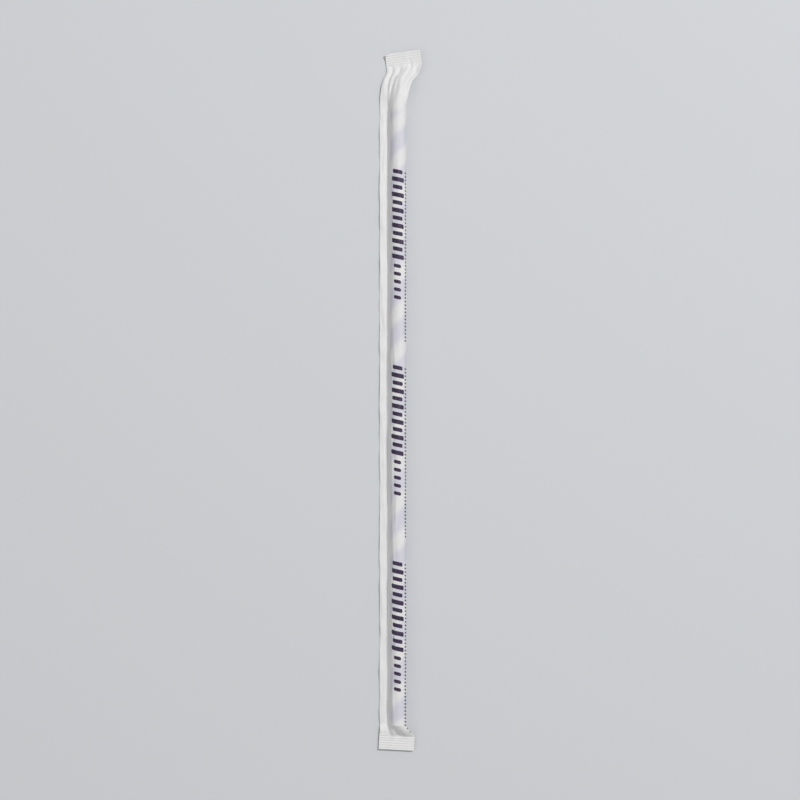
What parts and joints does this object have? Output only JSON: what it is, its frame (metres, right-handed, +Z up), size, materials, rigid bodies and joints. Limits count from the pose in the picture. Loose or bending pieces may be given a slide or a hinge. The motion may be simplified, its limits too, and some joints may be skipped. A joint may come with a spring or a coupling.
{
  "type": "wrapped drinking straw",
  "caption": "Striped paper drinking straw sealed in a thin white paper sachet with crimped ends, a side flange and loose creased paper at its head.",
  "frame": {"origin": "under the middle of the sachet, on the surface that it lies on", "axes": "+Y along the straw towards the head end with the longer empty paper, +Z up from the glued lap, +X towards the side of the straw without the flange"},
  "size_m": [0.0182, 0.2962, 0.0065],
  "materials": {
    "wrapping_paper": "matte uncoated tissue-weight paper, printed with a dark purple row of marks",
    "straw_paper": "matte spiral-wound paper with one broad blue and one white band"
  },
  "bodies": {
    "root": {"wrapper": "wrapping_paper", "straw": "straw_paper"}
  },
  "joints": []
}
